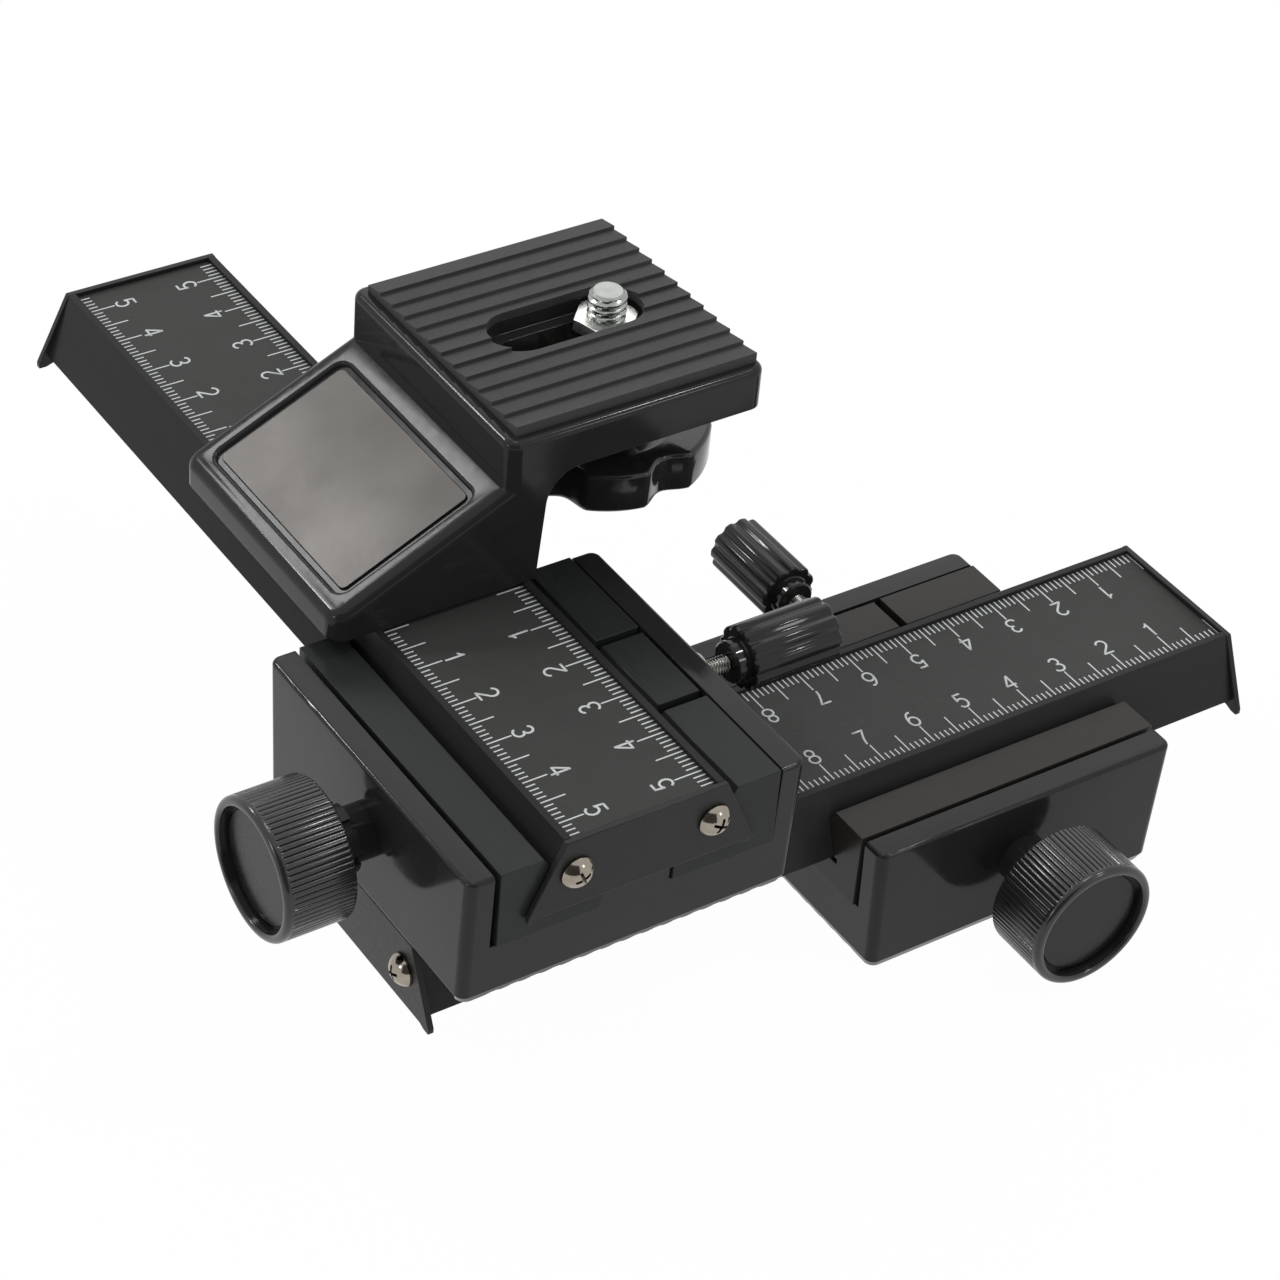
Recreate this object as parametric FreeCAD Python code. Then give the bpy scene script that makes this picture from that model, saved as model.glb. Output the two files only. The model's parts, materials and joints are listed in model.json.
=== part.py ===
"""Four-way macro focusing rail, in millimetres, +Z up, origin at the mouth of the tripod socket.

Two equal carriages each guide one dovetail rail.  The lower carriage stands on the tripod and its
rail slides along X.  The upper carriage is screwed across that rail, and its own rail slides along
Y and carries the camera bracket.  A pinion under each rail, turned by a big knob, drives its rack.
Each carriage and its rail are drawn once, with the rail along X and the focus knob towards -Y, and
the upper ones are then turned a quarter so that the knob points towards -X.
"""
import FreeCAD, Part
import math
import os

V = FreeCAD.Vector

# Carriage casting
carriage_length = 59.0
carriage_width = 59.0
wall_thickness = 4.45
wall_height = 24.5
floor_height = 10.5
end_draft = 2.0                 # degrees, the ends lean in towards the bottom
floor_land_height = 13.4        # raised strip of the floor between the gibs' feet
corner_radius = 1.7
band_height = 1.1               # steep chamfer around the foot
band_inset = 0.65
wall_top_radius = 0.7
rib_count = 15                  # the outermost ones edge the flat borders
rib_pitch = 3.6
rib_height = 0.6
rib_radius = 1.6

# Rail
rail_length = 158.0
rail_rise = 2.8                 # lips above the carriage's walls
rail_height = 11.3
rail_top_half = 13.9
rail_bottom_half = 18.0
lip_width = 1.2
lip_height = 0.8
lower_rail_front = 53.5         # right end of the lower rail, from the carriage's centre
stop_gap = 0.3                  # rail end plate to carriage, where the plate rests as a stop

# Gibs
fixed_gib_gap = 0.9             # between a gib and the wall
end_gib_gap = 0.35
lock_gib_wall_gap = 0.65
gib_foot_half = 6.5             # half of the channel between the gibs' feet
land_gap = 0.3                  # between the floor's raised strip and a gib's foot
gib_mouth_half = 16.9
gib_mouth_depth = 1.8
gib_relief = 0.85
lock_gib_length = 16.0
lock_gib_gap = 1.5
flank_clearance = 0.15
foot_clearance = 0.1
gib_screw_inset = 9.5           # from the carriage's ends
gib_screw_depth = 5.0

# Rack and pinion
gear_module = 0.8
pinion_teeth = 10
pinion_width = 7.0
pocket_clearance = 0.5
addendum = 0.65                 # stub teeth, below one module
dedendum = 0.95
tooth_half = 0.56               # half of a tooth's thickness at the pitch line
pinion_tip_share = 0.5          # a pinion tooth's thickness at its tip, as a share of that
pressure_angle = 20.0
rack_width = 7.8
rack_side_clearance = 0.1
rack_back = 2.2
shaft_radius = 2.0
shaft_clearance = 0.05
shaft_tail = 2.0                # shaft beyond the pinion

# Focus knob and its collar
knob_radius = 11.5
knob_length = 11.9
knob_gap = 0.5                  # collar to knob
knob_rim = 1.5                  # smooth band in front of the knurl
knob_edge = 1.2
knob_recess_radius = 9.2
knob_recess_depth = 2.4
knob_face_thickness = 0.8
knob_shaft_depth = 7.0
knurl_count = 64
knurl_depth = 0.42
knurl_land = 0.6                # a knurl's flat crest, as a share of the pitch
collar_radius = 5.6
collar_length = 3.4
collar_notches = 6
collar_notch_width = 1.8
collar_neck_radius = 4.4
collar_neck_length = 3.4
bush_radius = 4.0

# Lock screw and knob
lock_height_drop = 7.3          # lock screw below the rail's lips
lock_screw_radius = 1.5
lock_screw_clearance = 0.05
lock_screw_show = 5.0
lock_knob_radius = 5.4
lock_knob_length = 16.3
lock_knob_edge = 0.5
lock_knob_flutes = 11
lock_flute_depth = 0.5
lock_flute_crest = 0.4          # a crest between two flutes, as a share of the pitch
lock_hub_radius = 3.5
lock_hub_length = 2.2
lock_thread_in_knob = 8.0
lock_washer_radius = 3.4
lock_washer_thickness = 0.8
lock_tip_gap = 0.02

# Rail end plates
plate_thickness = 1.0
plate_top_half = 14.0
plate_tip_half = 19.8
plate_drop = 13.2               # below the lips
plate_tip_height = 0.9
plate_tip_width = 1.3
end_screw_spacing = 24.0
end_screw_drop = 6.1
end_screw_radius = 1.3
end_screw_length = 7.0
pan_head_radius = 2.75
pan_head_height = 2.1
pan_head_edge = 0.4             # upright edge below the dome

# Countersunk screws
flat_head_radius = 3.0
flat_screw_radius = 1.5
flat_head_depth = 1.6
carriage_screw_x = 17.0
carriage_screw_y = 24.0
carriage_screw_bite = 5.0

# Tripod socket
quarter_inch_radius = 3.175
quarter_inch_root = 2.5         # radius at the foot of the thread
socket_radius = 5.0
socket_depth = 6.0
socket_boss_radius = 8.5

# Where the upper carriage and the bracket sit
upper_carriage_inset = 27.9     # upper carriage's centre from the lower rail's left end
bracket_shift = 0.5             # bracket from the upper rail's middle, towards its front end

# Camera bracket, across from the upper rail's centre-line and up from its lips
bracket_width = 48.8
bracket_wall = 2.7
nose_reach = 21.2
nose_corner_radius = 3.0
slope_start_height = 4.4
slope_end_height = 18.3
slope_wall = 3.5
slope_rim_radius = 2.0
tower_foot_reach = 14.9
tower_head_reach = 16.4
tower_radius = 6.0
platform_start = 8.6
platform_end = 56.2
platform_bottom = 19.6
platform_top = 27.1
platform_plate = 4.6
platform_corner_radius = 2.5
platform_rim_radius = 1.2
bracket_floor_end = 5.5
bracket_floor = 3.0
recess_margin_low = 3.4
recess_margin_side = 4.0
recess_depth = 0.8
recess_radius = 2.0
recess_rim_radius = 0.7
name_plate_margin = 0.9
name_plate_thickness = 0.4
bracket_screw_x = 18.0
bracket_screw_inset = 5.4       # from the bracket's sides
bracket_screw_margin = 1.5      # screw's end below the top of its boss
bracket_boss_radius = 3.2
bracket_boss_height = 8.0

# Platform pad
pad_start = 10.9
pad_length = 44.2
pad_width = 45.0
pad_root = 1.1
pad_crest = 1.8
pad_ribs = 12
pad_slot_half = 5.6

# Camera screw and thumbwheel
screw_reach = 41.6              # screw's axis from the upper rail's centre-line
screw_travel = 15.6             # along the slot, towards the tower
screw_top = 31.4
screw_tip_chamfer = 0.6
screw_slot_half = 3.5
slot_end_gap = 0.3
slot_ledge_depth = 2.6          # the nut sits on this ledge, below the platform
slot_boss_wall = 3.0
nut_corner_radius = 5.5
nut_chamfer = 0.5
nut_height = 2.15
nut_phase = 45.0
nut_seat_gap = 0.05
wheel_radius = 18.5
wheel_bottom = 1.0
wheel_height = 7.4
wheel_lobes = 6
wheel_lobe_angle = 30.0         # degrees of full radius on each lobe
wheel_valley_depth = 2.4
wheel_phase = 7.5
wheel_edge = 0.9
wheel_rim = 2.6
wheel_dish = 1.4
wheel_hub_radius = 6.5
wheel_washer_radius = 6.0
wheel_washer_thickness = 0.8

# Derived heights, from the underside of a carriage
lip_top = wall_height + rail_rise
scale_height = lip_top - lip_height
rail_bottom = lip_top - rail_height
foot_top = rail_bottom - foot_clearance
lock_height = lip_top - lock_height_drop
pinion_radius = gear_module * pinion_teeth / 2
rack_pitch = math.pi * gear_module
rack_tip = rail_bottom - foot_clearance / 2
pitch_height = rack_tip + addendum
pinion_height = pitch_height - pinion_radius
rack_root = pitch_height + dedendum
rack_top = rack_root + rack_back

# Derived widths, from the rail's centre-line
wall_outer = carriage_width / 2
wall_inner = wall_outer - wall_thickness
fixed_gib_outer = wall_inner - fixed_gib_gap
end_gib_outer = wall_inner - end_gib_gap
lock_gib_outer = wall_inner - lock_gib_wall_gap
upper_carriage_z = lip_top
upper_rail_front = carriage_length / 2 + stop_gap
bracket_z = upper_carriage_z + lip_top
upper_carriage_x = lower_rail_front - rail_length + upper_carriage_inset
bracket_centre_y = rail_length / 2 - upper_rail_front - bracket_shift

# Allowances for cutting and for picking edges
cut_past = 1.0                  # how far a cutter runs past the face it opens
close = 0.1


def box(x0, x1, y0, y1, z0, z1):
    return Part.makeBox(x1 - x0, y1 - y0, z1 - z0, V(x0, y0, z0))


def rod(start, direction, length, radius):
    return Part.makeCylinder(radius, length, V(*start), V(*direction))


def bar_x(profile, x0, x1):
    """A bar along X from its (y, z) outline."""
    points = [V(x0, y, z) for y, z in profile + profile[:1]]
    return Part.Face(Part.makePolygon(points)).extrude(V(x1 - x0, 0, 0))


def bar_y(profile, y0, y1):
    """A bar along Y from its (x, z) outline."""
    points = [V(x, y0, z) for x, z in profile + profile[:1]]
    return Part.Face(Part.makePolygon(points)).extrude(V(0, y1 - y0, 0))


def turned(profile):
    """A solid of revolution about Z from its (radius, height) outline."""
    points = [V(r, 0, z) for r, z in profile + profile[:1]]
    return Part.Face(Part.makePolygon(points)).revolve(V(0, 0, 0), V(0, 0, 1), 360)


def arc_points(centre_r, centre_z, radius, start, end, steps=5):
    """Points of a rounded corner in a (radius, height) outline; the angles are in degrees."""
    angles = [math.radians(start + (end - start) * i / steps) for i in range(steps + 1)]
    return [(centre_r + radius * math.cos(a), centre_z + radius * math.sin(a)) for a in angles]


def aimed(shape, origin, direction):
    """The shape with its own origin moved to origin and its Z axis turned to direction."""
    moved = shape.copy()
    moved.Placement = FreeCAD.Placement(V(*origin), FreeCAD.Rotation(V(0, 0, 1), V(*direction)))
    return moved


def mirrored_y(shape):
    return shape.mirror(V(0, 0, 0), V(0, 1, 0))


def joined(shapes):
    return shapes[0].multiFuse(shapes[1:]).removeSplitter()


def moved_by(placement, shape):
    moved = shape.copy()
    moved.Placement = placement.multiply(moved.Placement)
    return moved


def polar(radius, degrees):
    angle = math.radians(degrees)
    return radius * math.cos(angle), radius * math.sin(angle)


def edges_along(shape, axis, where):
    """The straight edges that run along an axis and whose centre passes the test."""
    chosen = []
    for edge in shape.Edges:
        ends = edge.Vertexes[-1].Point - edge.Vertexes[0].Point
        if ends.Length > close and abs(ends.normalize().dot(axis)) > math.cos(math.radians(end_draft)) and \
                where(edge.CenterOfMass):
            chosen.append(edge)
    return chosen


def outermost(shape, normal):
    """The flat face that lies furthest along a direction."""
    flat = [f for f in shape.Faces if isinstance(f.Surface, Part.Plane)]
    facing = [f for f in flat if f.normalAt(0, 0).dot(normal) > math.cos(math.radians(end_draft))]
    return max(facing, key=lambda f: f.CenterOfMass.dot(normal))


def rim_of(shape, normal):
    return outermost(shape, normal).OuterWire.Edges


def opening_in(shape, normal):
    """The edges of the hole in the outermost face."""
    face = outermost(shape, normal)
    holes = [w for w in face.Wires if not w.isSame(face.OuterWire)]
    return holes[0].Edges


def flat_screw(length):
    """A countersunk screw with its flat head at z = 0, pointing up."""
    return turned([(0, 0), (flat_head_radius, 0), (flat_screw_radius, flat_head_depth),
                   (flat_screw_radius, length), (0, length)])


def pan_screw(length):
    """A pan-head screw seated at z = 0, with its head up and its shank down."""
    head_rise = pan_head_height - pan_head_edge
    radius = (pan_head_radius ** 2 + head_rise ** 2) / (2 * head_rise)
    reach = math.degrees(math.asin(pan_head_radius / radius))
    dome = arc_points(0, pan_head_height - radius, radius, 90 - reach, 90)
    return turned([(0, -length), (end_screw_radius, -length), (end_screw_radius, 0),
                   (pan_head_radius, 0)] + dome)


def rail_half(height):
    """Half of the rail's width at a height, on its flank."""
    slope = (rail_bottom_half - rail_top_half) / rail_height
    return rail_top_half + (lip_top - height) * slope


def spread(spacing_x, spacing_y):
    """The four corners of a screw pattern."""
    return [(sx * spacing_x / 2, sy * spacing_y / 2) for sx in (-1, 1) for sy in (-1, 1)]


def rounded_rectangle(half_x, half_y, z):
    slab = box(-half_x, half_x, -half_y, half_y, z, z + cut_past)
    slab = slab.makeFillet(corner_radius, edges_along(slab, V(0, 0, 1), lambda c: True))
    return outermost(slab, V(0, 0, -1)).OuterWire


def carriage_casting():
    half_length = carriage_length / 2
    lean = math.tan(math.radians(end_draft)) * (wall_height - band_height)
    body = Part.makeLoft([rounded_rectangle(half_length - lean - band_inset, wall_outer - band_inset, 0),
                          rounded_rectangle(half_length - lean, wall_outer, band_height),
                          rounded_rectangle(half_length, wall_outer, wall_height)], True, True)
    body = body.makeFillet(wall_top_radius, rim_of(body, V(0, 0, 1)))
    land_half = gib_foot_half - land_gap
    channel = [(-wall_inner, floor_height), (-land_half, floor_height), (-land_half, floor_land_height),
               (land_half, floor_land_height), (land_half, floor_height), (wall_inner, floor_height),
               (wall_inner, 2 * wall_height), (-wall_inner, 2 * wall_height)]
    body = body.cut(bar_x(channel, -carriage_length, carriage_length))
    ribbed_half = (rib_count - 1) / 2 * rib_pitch
    ribs = [rod((-half_length, i * rib_pitch - ribbed_half, rib_radius), (1, 0, 0), carriage_length, rib_radius)
            for i in range(rib_count)]
    below = box(-half_length, half_length, -ribbed_half, ribbed_half, -cut_past, rib_height)
    return body.cut(below.cut(ribs[0].multiFuse(ribs[1:])))


def shaft_tunnel(length):
    """The shaft's room from the middle of the carriage towards +Y, open on the pinion's lower side."""
    radius = shaft_radius + shaft_clearance
    tunnel = rod((0, 0, pinion_height), (0, 1, 0), length, radius)
    return tunnel.fuse(box(-radius, radius, 0, length, 0, pinion_height))


def casting_cuts():
    """Pinion pocket, shaft and lock holes and gib screw holes that both castings have."""
    pocket_half = pinion_radius + addendum + pocket_clearance
    pocket_side = pinion_width / 2 + pocket_clearance
    pocket = box(-pocket_half, pocket_half, -pocket_side, pocket_side, pinion_height - pocket_half,
                 floor_land_height)
    radius = shaft_radius + shaft_clearance
    trough = box(-radius, radius, -gib_foot_half, gib_foot_half, pinion_height, floor_land_height)
    trough = trough.fuse(rod((0, -gib_foot_half, pinion_height), (0, 1, 0), 2 * gib_foot_half, radius))
    bush_hole = rod((0, -wall_outer - cut_past, pinion_height), (0, 1, 0), wall_thickness + cut_past,
                    bush_radius)
    lock_hole = rod((0, wall_inner - cut_past, lock_height), (0, 1, 0), wall_thickness + 2 * cut_past,
                    lock_screw_radius + lock_screw_clearance)
    return [pocket, trough, bush_hole, lock_hole] + list(gib_screws().Solids)


def gib_screws():
    length = floor_height - rib_height + gib_screw_depth
    screw_y = (gib_foot_half + fixed_gib_outer) / 2 + gib_relief
    screws = [aimed(flat_screw(length), (x, y, rib_height), (0, 0, 1))
              for x, y in spread(carriage_length - 2 * gib_screw_inset, 2 * screw_y)]
    return Part.makeCompound(screws)


def gib_profile(outer):
    """The L outline of a gib on the +Y side: foot under the rail, flank beside it."""
    mouth_height = wall_height - gib_mouth_depth
    return [(gib_foot_half, floor_height), (outer, floor_height), (outer, wall_height),
            (gib_mouth_half, wall_height), (rail_half(mouth_height) + flank_clearance, mouth_height),
            (rail_half(rail_bottom) + flank_clearance, rail_bottom),
            (rail_bottom_half + gib_relief, rail_bottom),
            (rail_bottom_half + gib_relief, foot_top - gib_relief),
            (rail_bottom_half - gib_relief, foot_top - gib_relief), (rail_bottom_half - gib_relief, foot_top),
            (gib_foot_half, foot_top)]


def gib(x0, x1, outer):
    return bar_x(gib_profile(outer), x0, x1)


def fixed_gib():
    block = gib(-carriage_length / 2, carriage_length / 2, fixed_gib_outer).cut(shaft_tunnel(wall_outer))
    return mirrored_y(block).cut(gib_screws())


def end_gibs():
    inner = lock_gib_length / 2 + lock_gib_gap
    pair = [gib(-carriage_length / 2, -inner, end_gib_outer), gib(inner, carriage_length / 2, end_gib_outer)]
    return Part.makeCompound([block.cut(gib_screws()) for block in pair])


def rack(front):
    """The strip in the rail's channel; a gap between teeth is centred on the pinion."""
    slope = math.tan(math.radians(pressure_angle))
    root_half = tooth_half + dedendum * slope
    tip_half = tooth_half - addendum * slope
    back = front - rail_length
    first = math.ceil(back / rack_pitch + 0.5)
    last = math.floor(front / rack_pitch - 0.5)
    outline = [(back, rack_top), (back, rack_root)]
    for index in range(first, last):
        centre = (index + 0.5) * rack_pitch
        outline += [(centre - root_half, rack_root), (centre - tip_half, rack_tip),
                    (centre + tip_half, rack_tip), (centre + root_half, rack_root)]
    outline += [(front, rack_root), (front, rack_top)]
    return bar_y(outline, -rack_width / 2, rack_width / 2)


def pinion_shaft():
    """The shaft with its pinion, one tooth pointing straight up into the rack."""
    tip = pinion_radius + addendum
    root = pinion_radius - dedendum
    step = 360.0 / pinion_teeth
    flank = [(root, tooth_half), (pinion_radius, tooth_half), (tip, tooth_half * pinion_tip_share)]
    outline = []
    for index in range(pinion_teeth):
        middle = 90 + index * step
        for radius, half in flank:
            outline.append(polar(radius, middle - math.degrees(math.asin(half / radius))))
        for radius, half in reversed(flank):
            outline.append(polar(radius, middle + math.degrees(math.asin(half / radius))))
    outline = [(x, z + pinion_height) for x, z in outline]
    gear = bar_y(outline, -pinion_width / 2, pinion_width / 2)
    start = -(knob_back() + knob_shaft_depth)
    shaft = rod((0, start, pinion_height), (0, 1, 0), pinion_width / 2 + shaft_tail - start, shaft_radius)
    return gear.fuse(shaft)


def knob_back():
    """The focus knob's back face, from the rail's centre-line."""
    return wall_outer + collar_neck_length + collar_length + knob_gap


def focus_bush():
    """The collar in the wall: threaded shank, neck and a castellated rim against the knob."""
    shank = turned([(0, -wall_thickness), (bush_radius, -wall_thickness), (bush_radius, 0),
                    (collar_neck_radius, 0), (collar_neck_radius, collar_neck_length),
                    (collar_radius, collar_neck_length),
                    (collar_radius, collar_neck_length + collar_length),
                    (0, collar_neck_length + collar_length)])
    notch = box(collar_neck_radius, 2 * collar_radius, -collar_notch_width / 2, collar_notch_width / 2,
                collar_neck_length, collar_neck_length + collar_length)
    for index in range(collar_notches):
        shank = shank.cut(notch.rotated(V(0, 0, 0), V(0, 0, 1), index * 360.0 / collar_notches))
    bore = rod((0, 0, -wall_outer), (0, 0, 1), 2 * wall_outer, shaft_radius + shaft_clearance)
    return aimed(shank.cut(bore), (0, -wall_outer, pinion_height), (0, -1, 0))


def focus_knob():
    """The knurled knob, drawn with its back at z = 0 and its recessed front up."""
    edge = arc_points(knob_radius - knob_edge, knob_length - knob_edge, knob_edge, 0, 90)
    lip = arc_points(knob_recess_radius + knob_edge / 2, knob_length - knob_edge / 2, knob_edge / 2, 90, 180)
    back_edge = knob_edge / 2
    body = turned([(0, 0), (knob_radius - back_edge, 0), (knob_radius, back_edge)] + edge + lip
                  + [(knob_recess_radius, knob_length - knob_recess_depth),
                     (0, knob_length - knob_recess_depth)])
    step = 360.0 / knurl_count
    crest = knob_radius / math.cos(math.radians(step * knurl_land / 2))
    outline = []
    for index in range(knurl_count):
        outline += [polar(crest, (index - knurl_land / 2) * step),
                    polar(crest, (index + knurl_land / 2) * step),
                    polar(knob_radius - knurl_depth, (index + 1 / 2) * step)]
    points = [V(x, y, 0) for x, y in outline + outline[:1]]
    knurl = Part.Face(Part.makePolygon(points)).extrude(V(0, 0, knob_length - knob_rim))
    front = turned([(0, knob_length - knob_rim), (2 * knob_radius, knob_length - knob_rim),
                    (2 * knob_radius, 2 * knob_length), (0, 2 * knob_length)])
    body = body.common(knurl.fuse(front))
    bore = rod((0, 0, -cut_past), (0, 0, 1), knob_shaft_depth + cut_past, shaft_radius)
    return aimed(body.cut(bore), (0, -knob_back(), pinion_height), (0, -1, 0))


def knob_face():
    seat = knob_back() + knob_length - knob_recess_depth
    return rod((0, -seat, pinion_height), (0, -1, 0), knob_face_thickness, knob_recess_radius)


def fluted(radius, depth, count, full_angle, phase, height):
    """A prism whose edge is arcs at full radius, with a hollow arc between each two."""
    step = 360.0 / count
    edges = []
    for index in range(count):
        middle = phase + index * step
        a, b, c = (V(*polar(radius, middle + t * full_angle / 2), 0) for t in (-1, 0, 1))
        edges.append(Part.Arc(a, b, c).toShape())
        valley = V(*polar(radius - depth, middle + step / 2), 0)
        after = V(*polar(radius, middle + step - full_angle / 2), 0)
        edges.append(Part.Arc(c, valley, after).toShape())
    return Part.Face(Part.Wire(edges)).extrude(V(0, 0, height))


def lock_washer():
    ring = turned([(lock_screw_radius + lock_screw_clearance, 0), (lock_washer_radius, 0),
                   (lock_washer_radius, lock_washer_thickness),
                   (lock_screw_radius + lock_screw_clearance, lock_washer_thickness)])
    return aimed(ring, (0, wall_outer, lock_height), (0, 1, 0))


def lock_knob_start():
    """The inner end of the lock knob's hub, from the rail's centre-line."""
    return wall_outer + lock_washer_thickness + lock_screw_show


def lock_knob():
    """The fluted knob, drawn with its hub from z = 0."""
    full = lock_hub_length + lock_knob_length
    grip = fluted(lock_knob_radius, lock_flute_depth, lock_knob_flutes,
                  lock_flute_crest * 360.0 / lock_knob_flutes, 0, lock_knob_length)
    grip.translate(V(0, 0, lock_hub_length))
    edge = lock_knob_edge
    shell = turned([(0, 0), (lock_hub_radius, 0), (lock_hub_radius, lock_hub_length),
                    (lock_knob_radius - edge, lock_hub_length), (lock_knob_radius, lock_hub_length + edge),
                    (lock_knob_radius, full - 2 * edge), (lock_knob_radius - 2 * edge, full), (0, full)])
    hub = rod((0, 0, 0), (0, 0, 1), lock_hub_length, lock_hub_radius)
    body = grip.common(shell).fuse(hub)
    bore = rod((0, 0, -cut_past), (0, 0, 1), lock_thread_in_knob + cut_past, lock_screw_radius)
    return aimed(body.cut(bore), (0, lock_knob_start(), lock_height), (0, 1, 0))


def lock_screw():
    tip = lock_gib_outer + lock_tip_gap
    length = lock_knob_start() + lock_thread_in_knob - tip
    return rod((0, tip, lock_height), (0, 1, 0), length, lock_screw_radius)


def carriage_parts():
    """Everything that the two carriages have in common, by the part's own name."""
    casting = carriage_casting()
    for cutter in casting_cuts():
        casting = casting.cut(cutter)
    return {
        "carriage": casting,
        "fixed_gib": fixed_gib(),
        "end_gibs": end_gibs(),
        "lock_gib": gib(-lock_gib_length / 2, lock_gib_length / 2, lock_gib_outer),
        "gib_screws": gib_screws(),
        "focus_bush": focus_bush(),
        "pinion_shaft": pinion_shaft(),
        "focus_knob": focus_knob(),
        "knob_face": knob_face(),
        "lock_screw": lock_screw(),
        "lock_knob": lock_knob(),
        "lock_washer": lock_washer(),
    }


def rail_bar(front):
    """The dovetail bar, with lips beside its recessed scale and a channel for the rack."""
    channel_half = rack_width / 2 + rack_side_clearance
    half = [(channel_half, rack_top), (channel_half, rail_bottom), (rail_bottom_half, rail_bottom),
            (rail_top_half, lip_top), (rail_top_half - lip_width, lip_top),
            (rail_top_half - lip_width, scale_height)]
    other = [(-y, z) for y, z in reversed(half)]
    bar = bar_x(half + other, front - rail_length, front)
    for x, direction in ((front, -1), (front - rail_length, 1)):
        for y in (-end_screw_spacing / 2, end_screw_spacing / 2):
            bar = bar.cut(rod((x, y, lip_top - end_screw_drop), (direction, 0, 0), end_screw_length,
                              end_screw_radius))
    return bar


def end_plate():
    """The sheet end stop, flat in the YZ plane with its inner face at x = 0."""
    bottom = lip_top - plate_drop
    half = [(plate_tip_half - 2 * plate_tip_width, bottom + plate_tip_height / 2),
            (plate_tip_half - plate_tip_width, bottom), (plate_tip_half, bottom),
            (plate_tip_half, bottom + plate_tip_height), (plate_top_half, lip_top)]
    other = [(-y, z) for y, z in reversed(half)]
    plate = bar_x(half + other, 0, plate_thickness)
    for y in (-end_screw_spacing / 2, end_screw_spacing / 2):
        plate = plate.cut(rod((-cut_past, y, lip_top - end_screw_drop), (1, 0, 0),
                              plate_thickness + 2 * cut_past, end_screw_radius))
    return plate


def rail_parts(front, front_name, back_name):
    back = front - rail_length
    front_plate = end_plate()
    front_plate.translate(V(front, 0, 0))
    back_plate = end_plate()
    back_plate.translate(V(back - plate_thickness, 0, 0))
    screws = []
    for x, direction in ((front + plate_thickness, 1), (back - plate_thickness, -1)):
        for y in (-end_screw_spacing / 2, end_screw_spacing / 2):
            screw = pan_screw(end_screw_length)
            screws.append(aimed(screw, (x, y, lip_top - end_screw_drop), (direction, 0, 0)))
    return {"rail": rail_bar(front), "rack": rack(front), front_name + "_end_plate": front_plate,
            back_name + "_end_plate": back_plate, "end_screws": Part.makeCompound(screws)}


def tripod_socket():
    return turned([(quarter_inch_radius, 0), (socket_radius, 0), (socket_radius, socket_depth),
                   (quarter_inch_radius, socket_depth)])


def lower_casting(casting):
    """The common casting with a flat boss and a hole for the tripod socket."""
    boss = rod((0, 0, 0), (0, 0, 1), floor_height / 2, socket_boss_radius)
    hole = rod((0, 0, -cut_past), (0, 0, 1), socket_depth + cut_past, socket_radius)
    return casting.fuse(boss).cut(hole)


def carriage_screws():
    """Screws from the upper carriage's floor down into the lower rail."""
    screw = flat_screw(floor_height + carriage_screw_bite)
    return Part.makeCompound([aimed(screw, (x, y, floor_height), (0, 0, -1))
                              for x, y in spread(carriage_screw_x, carriage_screw_y)])


def bracket_screw_spots():
    return spread(bracket_screw_x, bracket_width - 2 * bracket_screw_inset)


def bracket_screws():
    """Screws from the upper rail's underside up into the bracket."""
    length = rail_height + bracket_boss_height - bracket_screw_margin
    return Part.makeCompound([aimed(flat_screw(length), (x, bracket_centre_y + y, -rail_height), (0, 0, 1))
                              for x, y in bracket_screw_spots()])


def slope_frame():
    """The sloping face's lower edge, its direction up the slope and its inward normal."""
    low = V(-nose_reach, 0, slope_start_height)
    high = V(platform_start, 0, slope_end_height)
    along = (high - low).normalize()
    return low, along, V(along.z, 0, -along.x), (high - low).Length


def slope_height(x):
    low, along, _, _ = slope_frame()
    return low.z + (x - low.x) * along.z / along.x


def bracket_tower(y0, y1):
    """The bracket's foot and sloping front, up to the platform's underside."""
    slope_top = tower_head_reach - bracket_wall
    shelf_end = tower_head_reach + 2 * tower_radius
    body = bar_y([(-nose_reach, 0), (tower_foot_reach, 0), (tower_head_reach, platform_bottom),
                  (shelf_end, platform_bottom), (shelf_end, slope_height(slope_top)),
                  (slope_top, slope_height(slope_top)), (-nose_reach, slope_start_height)], y0, y1)
    armpit = edges_along(body, V(0, 1, 0), lambda c: abs(c.x - tower_head_reach) < close)
    body = body.makeFillet(tower_radius, armpit)
    nose = edges_along(body, V(0, 0, 1), lambda c: c.x < -nose_reach + close)
    body = body.makeFillet(nose_corner_radius, nose)
    _, _, inward, _ = slope_frame()
    rim = [e for e in rim_of(body, -inward) if e.CenterOfMass.x < slope_top - close]
    body = body.makeFillet(slope_rim_radius, rim)
    return body


def bracket_platform(y0, y1):
    """The square head that carries the pad, with a skirt down into the slope's upper end."""
    skirt = slope_end_height - slope_rim_radius
    body = bar_y([(platform_start, skirt), (tower_head_reach, skirt),
                  (tower_head_reach, platform_bottom), (platform_end, platform_bottom),
                  (platform_end, platform_top), (platform_start, platform_top)], y0, y1)
    ends = (platform_start, platform_end)
    corners = edges_along(body, V(0, 0, 1), lambda c: min(abs(c.x - x) for x in ends) < close)
    body = body.makeFillet(platform_corner_radius, corners)
    return body.makeFillet(platform_rim_radius, rim_of(body, V(0, 0, 1)))


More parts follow.
